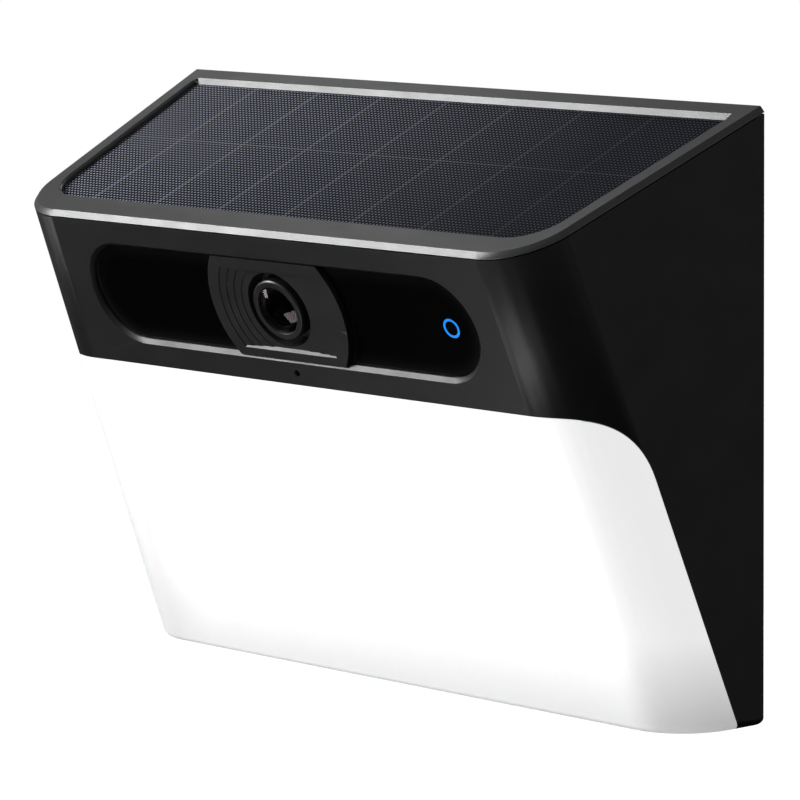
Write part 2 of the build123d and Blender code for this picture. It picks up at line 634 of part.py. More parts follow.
with BuildPart() as night_emitters:
    for emitter_x in EMITTER_X:
        with BuildSketch(FRONT.offset(-BOARD_DEPTH)):
            with Locations((emitter_x, 0)):
                Circle(EMITTER_R + 0.4)
        extrude(amount=EMITTER_FOOT)
        with BuildSketch(FRONT.offset(-BOARD_DEPTH + EMITTER_FOOT)):
            with Locations((emitter_x, 0)):
                Circle(EMITTER_R)
        extrude(amount=EMITTER_H - EMITTER_FOOT)
    tips = night_emitters.faces().filter_by(
        lambda f: abs(FRONT.to_local_coords(f.center()).Z + BOARD_DEPTH - EMITTER_H) < 0.01)
    fillet(tips.edges(), EMITTER_R - 0.3)
night_emitters.part.label = "night_emitters"

with BuildPart() as status_guide:
    with BuildSketch(FRONT.offset(-BOARD_DEPTH)):
        with Locations((STATUS_X - 0.5, 0)):
            Circle(2.2)
    extrude(amount=BOARD_DEPTH - SEAT_DEPTH - 0.3)
status_guide.part.label = "status_guide"

with BuildPart() as microphone:
    with BuildSketch(FRONT.offset(-BOSS_DEPTH - 1.2)):
        with Locations((0, MIC_Y)):
            RectangleRounded(5.0, 3.4, 0.5)
    extrude(amount=1.1)
microphone.part.label = "microphone"

# ---- light: LED board, LEDs, reflector, chassis --------------------------------------------
LED_BOARD_DEPTH = 12.2
LED_BOARD = (138.0, 56.0)
LED_GRID = (17.0, 13.0, 8, 4)
LED_SIZE = 3.0
LEG_X = 71.0
LEG_Z = (-30.0, -54.0)
LEG_R = 2.2

with BuildPart() as led_board:
    with BuildSketch(LIGHT.offset(-LED_BOARD_DEPTH)):
        RectangleRounded(LED_BOARD[0], LED_BOARD[1], 3)
    extrude(amount=1.2)
led_board.part.label = "led_board"

with BuildPart() as leds:
    with BuildSketch(LIGHT.offset(-LED_BOARD_DEPTH + 1.2)):
        with GridLocations(*LED_GRID):
            RectangleRounded(LED_SIZE, LED_SIZE, 0.3)
    extrude(amount=0.8)
leds.part.label = "leds"

with BuildPart() as reflector_sheet:
    with BuildSketch(LIGHT.offset(-LED_BOARD_DEPTH + 1.2)):
        RectangleRounded(LED_BOARD[0], LED_BOARD[1], 3)
        with GridLocations(*LED_GRID):
            Rectangle(LED_SIZE + 0.8, LED_SIZE + 0.8, mode=Mode.SUBTRACT)
    extrude(amount=0.4)
reflector_sheet.part.label = "reflector_sheet"

with BuildPart() as chassis:
    with BuildSketch(LIGHT.offset(-LED_BOARD_DEPTH - 1.8)):
        RectangleRounded(LED_BOARD[0] + 8, LED_BOARD[1] + 8, 4)
    extrude(amount=1.8)
    with BuildSketch(LIGHT.offset(-LED_BOARD_DEPTH - 1.8)):
        with GridLocations(60, 24, 2, 2):
            Circle(4)
    extrude(amount=4, mode=Mode.SUBTRACT)
    for leg_z in LEG_Z:
        with BuildSketch(Plane.XZ.offset(-COVER_Y[0])):
            with Locations((-LEG_X, leg_z), (LEG_X, leg_z)):
                Circle(LEG_R)
        extrude(amount=-front_y(leg_z) - (LED_BOARD_DEPTH + 0.9) / cos(LEAN) + COVER_Y[0])
chassis.part.label = "chassis"

# ---- electronics and battery ---------------------------------------------------------------
CELL_R = 9.2
CELL_L = 65.0
CELL_Y = -17.0
CELL_Z = -13.0

with BuildPart() as main_board:
    with BuildSketch(Plane.XZ.offset(-MAIN_BOARD_Y)):
        with Locations((0, BOARD_Z)):
            RectangleRounded(104, 40, 2)
            with GridLocations(*BOARD_HOLES, 2, 2):
                Circle(1.4, mode=Mode.SUBTRACT)
    extrude(amount=1.6)
main_board.part.label = "main_board"

with BuildPart() as shield_can:
    with BuildSketch(Plane.XZ.offset(-MAIN_BOARD_Y + 1.6)):
        with Locations((-22, 22)):
            RectangleRounded(30, 24, 1)
    extrude(amount=2.4)
shield_can.part.label = "shield_can"

with BuildPart() as board_chips:
    with BuildSketch(Plane.XZ.offset(-MAIN_BOARD_Y + 1.6)):
        with Locations((10, 28), (26, 28), (10, 12)):
            Rectangle(10, 10)
        with Locations((26, 12), (38, 12)):
            Rectangle(6, 5)
    extrude(amount=1.2)
board_chips.part.label = "board_chips"

with BuildPart() as antenna:
    with BuildSketch(Plane.XZ.offset(-MAIN_BOARD_Y)):
        with Locations((68, 24)):
            RectangleRounded(22, 8, 1)
    extrude(amount=0.6)
antenna.part.label = "antenna"

with BuildPart() as battery_cells:
    for cell_x in (-34, 34):
        with BuildSketch(Plane.YZ.offset(cell_x - CELL_L / 2)):
            with Locations((CELL_Y, CELL_Z)):
                Circle(CELL_R)
        extrude(amount=CELL_L)
battery_cells.part.label = "battery_cells"

with BuildPart() as battery_cradle:
    add(solid_box((-70, 70), (-15, POCKET_Y - COVER_T), (CELL_Z - CELL_R - 0.8, CELL_Z + CELL_R + 0.8)))
    with BuildSketch(Plane.YZ.offset(-68)):
        with Locations((CELL_Y, CELL_Z)):
            Circle(CELL_R + 0.1)
    extrude(amount=136, mode=Mode.SUBTRACT)
battery_cradle.part.label = "battery_cradle"

with BuildPart() as speaker:
    add(solid_box((SPEAKER_X - 13, SPEAKER_X + 13), (-8.4, -3.0), (STRIP_IN + 0.3, STRIP_IN + 13)))
    fillet(speaker.edges().filter_by(Axis.Y), 1.5)
speaker.part.label = "speaker"

with BuildPart() as speaker_mesh:
    add(solid_box((SPEAKER_X - 12.4, SPEAKER_X + 12.4), (-6.0, -2.4), (STRIP_IN, STRIP_IN + 0.3)))
speaker_mesh.part.label = "speaker_mesh"

# ---- port, cover flap and buttons on the strip underneath ------------------------------------
BUTTON_TRAVEL = 0.5
USB_SHELL = (8.94, 3.2)
USB_SHEET = 0.3
BUTTON_EARS = (6.4, 2.8)
PORT_BOARD_Y = (-7.3, -6.3)

with BuildPart() as usb_port:
    with BuildSketch(Plane.XY.offset(FOOT + FLAP_T + 0.8)):
        with Locations((USB_X, FOOT_Y)):
            SlotOverall(*USB_SHELL)
            SlotOverall(USB_SHELL[0] - 2 * USB_SHEET, USB_SHELL[1] - 2 * USB_SHEET, mode=Mode.SUBTRACT)
    extrude(amount=7.0)
    with BuildSketch(Plane.XY.offset(FOOT + FLAP_T + 1.6)):
        with Locations((USB_X, FOOT_Y)):
            Rectangle(6.6, 0.7)
    extrude(amount=6.2)
    with BuildSketch(Plane.XY.offset(FOOT + FLAP_T + 7.0)):
        with Locations((USB_X, FOOT_Y)):
            SlotOverall(*USB_SHELL)
    extrude(amount=0.8)
usb_port.part.label = "usb_port"

with BuildPart() as usb_cover:
    add(solid_box(FLAP_X, (FOOT_Y - FLAP_HALF, FOOT_Y + FLAP_HALF), (FOOT, FOOT + FLAP_T)))
    fillet(usb_cover.edges().filter_by(Axis.Z).group_by(Axis.X)[-1], 1.2)
    fillet(usb_cover.edges().filter_by(Axis.Y).group_by(Axis.X)[0], FLAP_T / 2 - 0.01)
    add(solid_box(
        (USB_X - 3.2, USB_X + 3.2), (FOOT_Y - 0.9, FOOT_Y + 0.9), (FOOT + FLAP_T, FOOT + FLAP_T + 0.4)))
usb_cover.part.label = "usb_cover"


def button(button_x):
    """A round push button with two ears behind the wall."""
    with BuildPart() as cap:
        with BuildSketch(Plane.XY.offset(FOOT)):
            with Locations((button_x, FOOT_Y)):
                Circle(BUTTON_R)
        extrude(amount=WALL + 0.1)
        chamfer(cap.faces().sort_by(Axis.Z)[0].edges(), 0.3)
        with BuildSketch(Plane.XY.offset(STRIP_IN + 0.05)):
            with Locations((button_x, FOOT_Y)):
                RectangleRounded(*BUTTON_EARS, 1.0)
        extrude(amount=0.7)
    return cap.part


with BuildPart() as power_button:
    add(button(BUTTON_X["power_button"]))
power_button.part.label = "power_button"

with BuildPart() as sync_button:
    add(button(BUTTON_X["sync_button"]))
sync_button.part.label = "sync_button"

with BuildPart() as key_switches:
    for button_x in BUTTON_X.values():
        add(solid_box(
            (button_x - 2.2, button_x + 2.2), (PORT_BOARD_Y[1], -2.6),
            (STRIP_IN + 0.75 + BUTTON_TRAVEL + 0.5, STRIP_IN + 4.6)))
key_switches.part.label = "key_switches"

with BuildPart() as port_board:
    add(solid_box((-60, -22), PORT_BOARD_Y, (STRIP_IN + 0.7, STRIP_IN + 17)))
port_board.part.label = "port_board"

# ---- flat cable from camera board to main board ------------------------------------------------
RIBBON_T = 0.3
RIBBON_W = 12.0

with BuildPart() as camera_ribbon:
    start = FRONT.from_local_coords(Vector(0, 4, -BOARD_DEPTH - BOARD_T - RIBBON_T))
    end_y = MAIN_BOARD_Y - 1.6 - RIBBON_T
    with BuildSketch(Plane.YZ.offset(46 - RIBBON_W / 2)):
        with BuildLine():
            Polyline((start.Y, start.Z), (start.Y + 9, start.Z - 1), (end_y - 5, 33), (end_y, 33))
            offset(amount=RIBBON_T / 2, side=Side.BOTH)
        make_face()
    extrude(amount=RIBBON_W)
camera_ribbon.part.label = "camera_ribbon"

# ---- write every piece -------------------------------------------------------------------------
PIECES = [
    wall_bracket, lock_screw, housing, diffuser, back_cover, cover_seal, cover_screws,
    solar_frame, solar_cells, solar_backing, camera_window, status_ring, lens_bezel,
    lens_barrel, lens_front, lens_group, lens_holder, image_sensor, camera_board,
    night_emitters, status_guide, microphone, led_board, leds, reflector_sheet, chassis,
    main_board, shield_can, board_chips, antenna, battery_cells, battery_cradle,
    speaker, speaker_mesh, usb_port, usb_cover, power_button, sync_button, key_switches,
    port_board, camera_ribbon,
]

os.makedirs("parts", exist_ok=True)
for piece in PIECES:
    export_step(piece.part, f"parts/{piece.part.label}.step")
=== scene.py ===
import json
import math

import bmesh
import bpy
from mathutils import Matrix, Vector


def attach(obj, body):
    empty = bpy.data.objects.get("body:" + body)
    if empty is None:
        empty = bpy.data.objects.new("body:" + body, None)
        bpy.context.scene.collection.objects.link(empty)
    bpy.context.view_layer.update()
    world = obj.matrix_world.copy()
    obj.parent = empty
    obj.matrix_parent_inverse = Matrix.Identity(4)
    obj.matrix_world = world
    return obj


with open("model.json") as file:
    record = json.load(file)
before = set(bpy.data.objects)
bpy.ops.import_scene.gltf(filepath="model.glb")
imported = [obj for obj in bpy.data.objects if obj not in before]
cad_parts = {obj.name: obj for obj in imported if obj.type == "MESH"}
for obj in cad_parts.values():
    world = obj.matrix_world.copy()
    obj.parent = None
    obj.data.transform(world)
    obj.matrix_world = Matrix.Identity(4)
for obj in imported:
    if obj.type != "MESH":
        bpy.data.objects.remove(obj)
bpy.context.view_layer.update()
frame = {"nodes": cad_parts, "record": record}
NODES = frame["nodes"]
MM = 0.001

# ---- shape facts shared with the CAD part, in metres and radians ------------------------
HALF_W = 0.090
TOP_Z = 0.0675
DEPTH = 0.066
SLOPE = math.radians(22.7)
LEAN = math.radians(22.0)
TAPER = math.radians(8.0)
EDGE_Z = TOP_Z - DEPTH * math.tan(SLOPE)
CAMERA_HEIGHT = 0.0892
CAMERA_Z = CAMERA_HEIGHT - TOP_Z
CELL_PITCH = 0.021
CELL_MIDLINE = 0.032
DOT_PITCH = 1.05 * MM
WINDOW_STRAIGHT = 0.0484

# ---- where painted glow, highlight and shade fade over the object, from start to end, in metres ---
PAINTED_GLOW_LEFT = (-0.060, -0.085)
PAINTED_GLOW_RIGHT = (0.060, 0.086)
PAINTED_GLOW_LOW = (-0.046, -0.065)
PAINTED_SHINE_ACROSS = (-0.085, 0.060)
PAINTED_WINDOW_HIGHLIGHT = (0.0078, 0.0118)


def front_y(z):
    """Where the front face stands at height z."""
    return -DEPTH + (EDGE_Z - z) * math.tan(LEAN)


def basis(origin, x_dir, z_dir):
    """A matrix that puts local X and Z along the given directions."""
    x_dir, z_dir = Vector(x_dir), Vector(z_dir)
    turn = Matrix((x_dir, z_dir.cross(x_dir), z_dir)).transposed()
    return Matrix.Translation(origin) @ turn.to_4x4()


TOP = basis((0, 0, TOP_Z), (1, 0, 0), (0, -math.sin(SLOPE), math.cos(SLOPE)))
FRONT = basis((0, front_y(CAMERA_Z), CAMERA_Z), (1, 0, 0), (0, -math.cos(LEAN), -math.sin(LEAN)))


# ---- node helpers -------------------------------------------------------------------------
class Shader:
    """A small wrapper that makes and links shader nodes."""

    def __init__(self, name):
        self.mat = bpy.data.materials.new(name)
        self.mat.use_nodes = True
        self.tree = self.mat.node_tree
        self.bsdf = self.tree.nodes["Principled BSDF"]

    def node(self, kind, links=None, **settings):
        made = self.tree.nodes.new("ShaderNode" + kind)
        for key, value in settings.items():
            setattr(made, key, value)
        for key, value in (links or {}).items():
            self.put(value, made.inputs[key])
        return made

    def put(self, value, socket):
        if isinstance(value, bpy.types.NodeSocket):
            self.tree.links.new(value, socket)
        else:
            socket.default_value = value

    def math(self, operation, *values):
        made = self.node("Math", operation=operation)
        for index, value in enumerate(values):
            self.put(value, made.inputs[index])
        return made.outputs[0]

    def place(self):
        return self.node("TexCoord").outputs["Object"]

    def turned(self, matrix):
        """Coordinates in the plane given by matrix, in metres."""
        back = matrix.inverted()
        inputs = {"Vector": self.place(), "Location": back.to_translation(), "Rotation": back.to_euler()}
        return self.node("Mapping", inputs).outputs[0]

    def axes(self, vector):
        """The X, Y and Z parts of a vector."""
        return self.node("SeparateXYZ", {0: vector}).outputs

    def noise(self, size, detail=3.0, stretch=(1, 1, 1), rough=0.5):
        grid = self.node("Mapping", {"Vector": self.place(), "Scale": stretch}).outputs[0]
        inputs = {"Vector": grid, "Scale": 1 / size, "Detail": detail, "Roughness": rough}
        return self.node("TexNoise", inputs).outputs[0]

    def cells(self, size, randomness=1.0):
        inputs = {"Vector": self.place(), "Scale": 1 / size, "Randomness": randomness}
        return self.node("TexVoronoi", inputs).outputs["Distance"]

    def remap(self, value, low, high, to_low, to_high):
        inputs = {"Value": value, "From Min": low, "From Max": high, "To Min": to_low, "To Max": to_high}
        return self.node("MapRange", inputs).outputs[0]

    def length(self, x, y):
        """The length of the vector (x, y)."""
        return self.math("SQRT", self.math("ADD", self.math("MULTIPLY", x, x), self.math("MULTIPLY", y, y)))

    def mix(self, factor, first, second):
        """Blends two colours; 6 and 7 are the node's colour inputs and 2 is its colour output."""
        made = self.node("Mix", data_type="RGBA")
        self.put(factor, made.inputs["Factor"])
        self.put(first, made.inputs[6])
        self.put(second, made.inputs[7])
        return made.outputs[2]

    def edge(self, radius):
        """1 near a sharp edge, 0 elsewhere."""
        soft = self.node("Bevel", {"Radius": radius}, samples=4).outputs[0]
        flat = self.node("NewGeometry").outputs["Normal"]
        dot = self.node("VectorMath", {0: soft, 1: flat}, operation="DOT_PRODUCT").outputs["Value"]
        return self.remap(dot, 0.995, 0.80, 0.0, 1.0)

    def bump(self, height, distance, strength=1.0):
        links = {"Height": height, "Distance": distance, "Strength": strength}
        return self.node("Bump", links).outputs[0]

    def set(self, **inputs):
        for key, value in inputs.items():
            self.put(value, self.bsdf.inputs[key.replace("_", " ")])
        return self.mat


def shade(color, factor):
    return tuple(min(1.0, c * factor) for c in color[:3]) + (1.0,)


def moulded(name, color, rough=0.5, grain=0.35 * MM, depth=0.02 * MM, wear=0.35, specular=0.5, patch=0.12,
            dust=0.0, painted_shade_reach=0.0):
    """Moulded plastic, rubber or powder coat: fine grain, slight patches and softly rubbed edges.

    dust adds pale specks, and the last setting is the distance over which ambient occlusion paints shade into
    hollows.
    """
    s = Shader(name)
    patches = s.noise(22 * MM, 4)
    tone = s.mix(s.remap(patches, 0.3, 0.7, 0, 1), shade(color, 1 - patch), shade(color, 1 + patch))
    rubbed = s.math("MULTIPLY", s.edge(0.35 * MM), s.remap(s.noise(2.5 * MM, 3), 0.35, 0.65, 0.2, 1.0))
    tone = s.mix(s.math("MULTIPLY", rubbed, wear), tone, shade([c + 0.04 for c in color], 1.6))
    if dust:
        specks = s.remap(s.noise(0.9 * MM, 5, rough=0.7), 0.62, 0.75, 0, dust)
        tone = s.mix(specks, tone, (0.35, 0.34, 0.32, 1))
    if painted_shade_reach:
        # Painted shade: ambient occlusion darkens the colour in hollows.
        occlusion_for_shade = s.node("AmbientOcclusion", {"Distance": painted_shade_reach}, samples=8).outputs["AO"]
        tone = s.mix(s.remap(occlusion_for_shade, 0.45, 0.95, 0, 1), shade(color, 0.25), tone)
    fine = s.math("ADD", s.noise(grain, 2, rough=0.6), s.math("MULTIPLY", s.cells(grain * 1.6), 0.5))
    sheen = s.math("ADD", s.remap(s.noise(9 * MM, 4), 0.25, 0.75, rough - 0.05, rough + 0.05),
                   s.math("MULTIPLY", rubbed, -0.08))
    return s.set(Base_Color=tone, Roughness=sheen, Normal=s.bump(fine, depth), Specular_IOR_Level=specular)


def metal(name, color, rough, stretch):
    """Brushed or drawn metal with fine lines along one axis, smudges and brighter edges."""
    s = Shader(name)
    lines = s.noise(6 * MM, 6, stretch=stretch, rough=0.7)
    smudge = s.noise(14 * MM, 4)
    tone = s.mix(s.remap(lines, 0.3, 0.7, 0, 1), shade(color, 0.86), shade(color, 1.1))
    tone = s.mix(s.math("MULTIPLY", s.edge(0.25 * MM), 0.5), tone, shade(color, 1.35))
    sheen = s.math("ADD", s.remap(smudge, 0.3, 0.7, rough - 0.06, rough + 0.08),
                   s.remap(lines, 0.2, 0.8, -0.05, 0.05))
    return s.set(Base_Color=tone, Metallic=1.0, Roughness=sheen, Anisotropic=0.4,
                 Normal=s.bump(lines, 0.01 * MM, 0.5))


def circuit_board(name, color):
    """Solder mask over copper tracks, with tinned pads."""
    s = Shader(name)
    spot = s.node("Mapping", {"Vector": s.place(), "Rotation": (math.pi / 2, 0, 0)}).outputs[0]
    brick = s.node("TexBrick", {"Vector": spot, "Color1": (0, 0, 0, 1), "Color2": (0.15, 0.15, 0.15, 1),
                                "Mortar": (1, 1, 1, 1), "Scale": 130.0, "Mortar Size": 0.035})
    tracks = brick.outputs["Color"]
    pads = s.remap(s.cells(2.4 * MM, 0.35), 0.12, 0.17, 1, 0)
    tone = s.mix(tracks, shade(color, 0.8), shade(color, 1.7))
    tone = s.mix(s.remap(s.noise(30 * MM, 3), 0.3, 0.7, 0, 0.35), tone, shade(color, 0.6))
    tone = s.mix(pads, tone, (0.75, 0.72, 0.6, 1))
    height = s.math("ADD", s.math("MULTIPLY", pads, 0.6), s.remap(tracks, 0, 1, 0, 0.4))
    return s.set(Base_Color=tone, Metallic=s.math("MULTIPLY", pads, 0.9), Normal=s.bump(height, 0.03 * MM),
                 Roughness=s.remap(pads, 0, 1, 0.32, 0.22), Coat_Weight=0.4, Coat_Roughness=0.15)


def opal(name):
    """Translucent white cover with a painted glow in its emission: painted shade fades it towards its left and
    lower rim, and the glow grows a little towards its right.
    """
    s = Shader(name)
    cloud = s.noise(45 * MM, 3)
    tone = s.mix(s.remap(cloud, 0.3, 0.7, 0, 1), (0.86, 0.865, 0.87, 1), (0.89, 0.895, 0.90, 1))
    tone = s.mix(s.math("MULTIPLY", s.edge(0.5 * MM), 0.4), tone, (0.95, 0.95, 0.955, 1))
    axes = s.axes(s.place())
    left = s.remap(axes[0], *PAINTED_GLOW_LEFT, 0, 1)
    right = s.remap(axes[0], *PAINTED_GLOW_RIGHT, 0, 1)
    low = s.remap(axes[2], *PAINTED_GLOW_LOW, 0, 1)
    # Painted glow and painted shade: the emission fades towards the left and lower rim and grows a little
    # towards the right.
    painted_glow = s.mix(left, (0.66, 0.66, 0.66, 1), (0.12, 0.12, 0.12, 1))
    painted_glow = s.mix(right, painted_glow, (0.71, 0.71, 0.715, 1))
    painted_glow = s.mix(s.math("MULTIPLY", low, 0.7), painted_glow, (0.22, 0.22, 0.22, 1))
    fine = s.noise(0.25 * MM, 2, rough=0.6)
    return s.set(Base_Color=tone, Roughness=s.remap(s.noise(12 * MM, 3), 0.3, 0.7, 0.34, 0.42),
                 Normal=s.bump(fine, 0.006 * MM), Subsurface_Weight=0.25, Subsurface_Scale=0.002,
                 Emission_Color=painted_glow, Emission_Strength=1.0)


def frame_coat(name):
    """Satin dark grey coat of the solar frame with metal flake and worn bevels."""
    s = Shader(name)
    flake = s.noise(0.12 * MM, 2, rough=0.8)
    patches = s.noise(30 * MM, 4)
    base = (0.070, 0.071, 0.073)
    tone = s.mix(s.remap(patches, 0.3, 0.7, 0, 1), shade(base, 0.92), shade(base, 1.08))
    tone = s.mix(s.remap(flake, 0.55, 0.75, 0, 0.5), tone, shade(base, 2.2))
    worn = s.math("MULTIPLY", s.edge(0.25 * MM), s.remap(s.noise(1.8 * MM, 4), 0.3, 0.7, 0.2, 0.9))
    tone = s.mix(s.math("MULTIPLY", worn, 0.6), tone, (0.42, 0.42, 0.43, 1))
    return s.set(Base_Color=tone, Metallic=0.2, Specular_IOR_Level=0.5, Normal=s.bump(flake, 0.008 * MM),
                 Roughness=s.remap(s.noise(7 * MM, 4), 0.3, 0.7, 0.30, 0.35))


def solar_sheet_material(name):
    """Clear embossed sheet over dark cells: cell borders, fine lines and a dot grid, with a painted highlight
    that makes dots and borders brighter at the left.
    """
    s = Shader(name)
    axes = s.axes(s.turned(TOP))

    def from_line(value, pitch, shift=0.0):
        """Distance in metres to the nearest line of a regular set."""
        steps = s.math("ADD", s.math("DIVIDE", s.math("ADD", value, shift), pitch), 0.5)
        off_line = s.math("ABSOLUTE", s.math("SUBTRACT", s.math("FRACT", steps), 0.5))
        return s.math("MULTIPLY", off_line, pitch)

    border_x = from_line(axes[0], CELL_PITCH)
    border_y = s.math("ABSOLUTE", s.math("ADD", axes[1], CELL_MIDLINE))
    border = s.remap(s.math("MINIMUM", border_x, border_y), 0.16 * MM, 0.30 * MM, 1, 0)
    fingers = s.remap(from_line(axes[1], DOT_PITCH), 0.05 * MM, 0.14 * MM, 1, 0)
    dot_x = from_line(axes[0], DOT_PITCH, 0.5 * MM)
    dot_y = from_line(axes[1], DOT_PITCH, 0.5 * MM)
    dots = s.remap(s.length(dot_x, dot_y), 0.14 * MM, 0.34 * MM, 1, 0)
    # Painted highlight: dots and cell borders are lighter at the left and fade towards the right.
    painted_shine = s.remap(axes[0], *PAINTED_SHINE_ACROSS, 1.0, 0.16)
    drift = s.remap(s.noise(16 * MM, 3), 0.3, 0.7, 0, 1)
    tone = s.mix(drift, (0.0022, 0.0025, 0.005, 1), (0.0045, 0.005, 0.009, 1))
    tone = s.mix(s.math("MULTIPLY", fingers, 0.12), tone, (0.03, 0.033, 0.045, 1))
    tone = s.mix(s.math("MULTIPLY", dots, painted_shine), tone, (0.62, 0.66, 0.80, 1))
    tone = s.mix(s.math("MULTIPLY", border, s.math("MULTIPLY", painted_shine, 0.55)), tone, (0.30, 0.31, 0.33, 1))
    height = s.math("ADD", dots, s.math("MULTIPLY", s.noise(0.4 * MM, 3), 0.4))
    return s.set(Base_Color=tone, Roughness=s.remap(dots, 0, 1, 0.38, 0.5), Specular_IOR_Level=0.02,
                 Normal=s.bump(height, 0.03 * MM, 0.5))


def gloss(name, color, rough, coat=0.6):
    """Polished plastic or glass-like cover with faint dust and hairlines."""
    s = Shader(name)
    dust = s.remap(s.noise(1.3 * MM, 6, rough=0.75), 0.66, 0.8, 0, 0.10)
    hair = s.noise(3 * MM, 4, stretch=(14, 1, 3), rough=0.8)
    tone = s.mix(dust, shade(color, 1.0), shade([c + 0.08 for c in color], 1.6))
    tone = s.mix(s.remap(s.noise(25 * MM, 3), 0.3, 0.7, 0, 0.4), tone, shade(color, 0.7))
    sheen = s.math("ADD", s.remap(hair, 0.4, 0.8, rough, rough + 0.05), s.math("MULTIPLY", dust, 0.8))
    return s.set(Base_Color=tone, Roughness=sheen, Normal=s.bump(hair, 0.002 * MM), Coat_Weight=coat,
                 Coat_Roughness=0.03, Specular_IOR_Level=0.5)


def window(name, color):
    """Dark glossy window with faint hairlines, a little paler towards its rim from a painted highlight."""
    s = Shader(name)
    axes = s.axes(s.turned(FRONT))
    # Painted highlight: the colour gets paler towards the window's rim.
    past = s.math("MAXIMUM", s.math("SUBTRACT", s.math("ABSOLUTE", axes[0]), WINDOW_STRAIGHT), 0)
    rim = s.remap(s.length(past, axes[1]), *PAINTED_WINDOW_HIGHLIGHT, 0, 1)
    hair = s.noise(3 * MM, 4, stretch=(14, 1, 3), rough=0.8)
    dust = s.remap(s.noise(1.3 * MM, 6, rough=0.75), 0.66, 0.8, 0, 0.05)
    tone = s.mix(s.math("MULTIPLY", rim, rim), color + (1,), (0.010, 0.010, 0.0105, 1))
    tone = s.mix(dust, tone, (0.05, 0.05, 0.05, 1))
    return s.set(Base_Color=tone, Roughness=s.remap(hair, 0.4, 0.8, 0.10, 0.15), Specular_IOR_Level=0.3,
                 Normal=s.bump(hair, 0.002 * MM), Coat_Weight=0.1, Coat_Roughness=0.05)


def lens_glass(name, film):
    """Clear coated front glass of the camera."""
    s = Shader(name)
    mist = s.remap(s.noise(0.9 * MM, 5), 0.6, 0.8, 0, 0.04)
    tone = s.mix(mist, (0.50, 0.52, 0.56, 1), (0.44, 0.44, 0.44, 1))
    return s.set(Base_Color=tone, Roughness=s.math("ADD", mist, 0.05), Transmission_Weight=1.0, IOR=1.5,
                 Thin_Film_Thickness=film, Thin_Film_IOR=1.38,
                 Normal=s.bump(s.noise(4 * MM, 2), 0.001 * MM))


def lens_element_painted_glints(name, color):
    """Dark inner lens element with two coloured painted glints and one pale painted glint."""
    s = Shader(name)
    axes = s.axes(s.turned(FRONT))

    def spot(x, y, radius):
        away = s.length(s.math("SUBTRACT", axes[0], x), s.math("SUBTRACT", axes[1], y))
        return s.remap(away, radius * 0.6, radius, 1, 0)

    # Painted glints: two coloured spots and one pale spot stand in for reflections off the lens coating.
    painted_glints = s.math("MAXIMUM", spot(-0.6 * MM, 0.6 * MM, 0.75 * MM), spot(0.6 * MM, -0.2 * MM, 0.6 * MM))
    pale = spot(1.0 * MM, -0.9 * MM, 0.45 * MM)
    drift = s.remap(s.noise(2 * MM, 2), 0.3, 0.7, 0, 1)
    tone = s.mix(painted_glints, s.mix(drift, (0.002, 0.002, 0.003, 1), (0.004, 0.004, 0.005, 1)), color + (1,))
    tone = s.mix(pale, tone, (0.35, 0.38, 0.34, 1))
    return s.set(Base_Color=tone, Metallic=s.math("MULTIPLY", painted_glints, 0.5), Specular_IOR_Level=0.1,
                 Roughness=s.math("ADD", s.remap(drift, 0, 1, 0.22, 0.30), s.math("MULTIPLY", painted_glints, 0.3)),
                 Normal=s.bump(drift, 0.002 * MM))


def glowing(name, color, strength):
    """A light guide or lit emitter, softly uneven."""
    s = Shader(name)
    uneven = s.noise(1.2 * MM, 3)
    tone = s.mix(s.remap(uneven, 0.3, 0.7, 0, 1), shade(color, 0.85), shade(color, 1.1))
    return s.set(Base_Color=tone, Roughness=s.remap(uneven, 0.3, 0.7, 0.25, 0.35),
                 Emission_Color=tone, Emission_Strength=strength, Normal=s.bump(uneven, 0.004 * MM))


def woven(name, color, pitch):
    """Fine woven mesh."""
    s = Shader(name)
    def threads(direction):
        inputs = {"Vector": s.place(), "Scale": 0.31 / pitch, "Distortion": 0.3}
        return s.node("TexWave", inputs, bands_direction=direction).outputs["Fac"]

    weave = s.math("MAXIMUM", threads("X"), threads("Y"))
    tone = s.mix(weave, shade(color, 0.3), shade(color, 1.3))
    return s.set(Base_Color=tone, Roughness=s.remap(weave, 0, 1, 0.9, 0.6), Normal=s.bump(weave, 0.1 * MM))


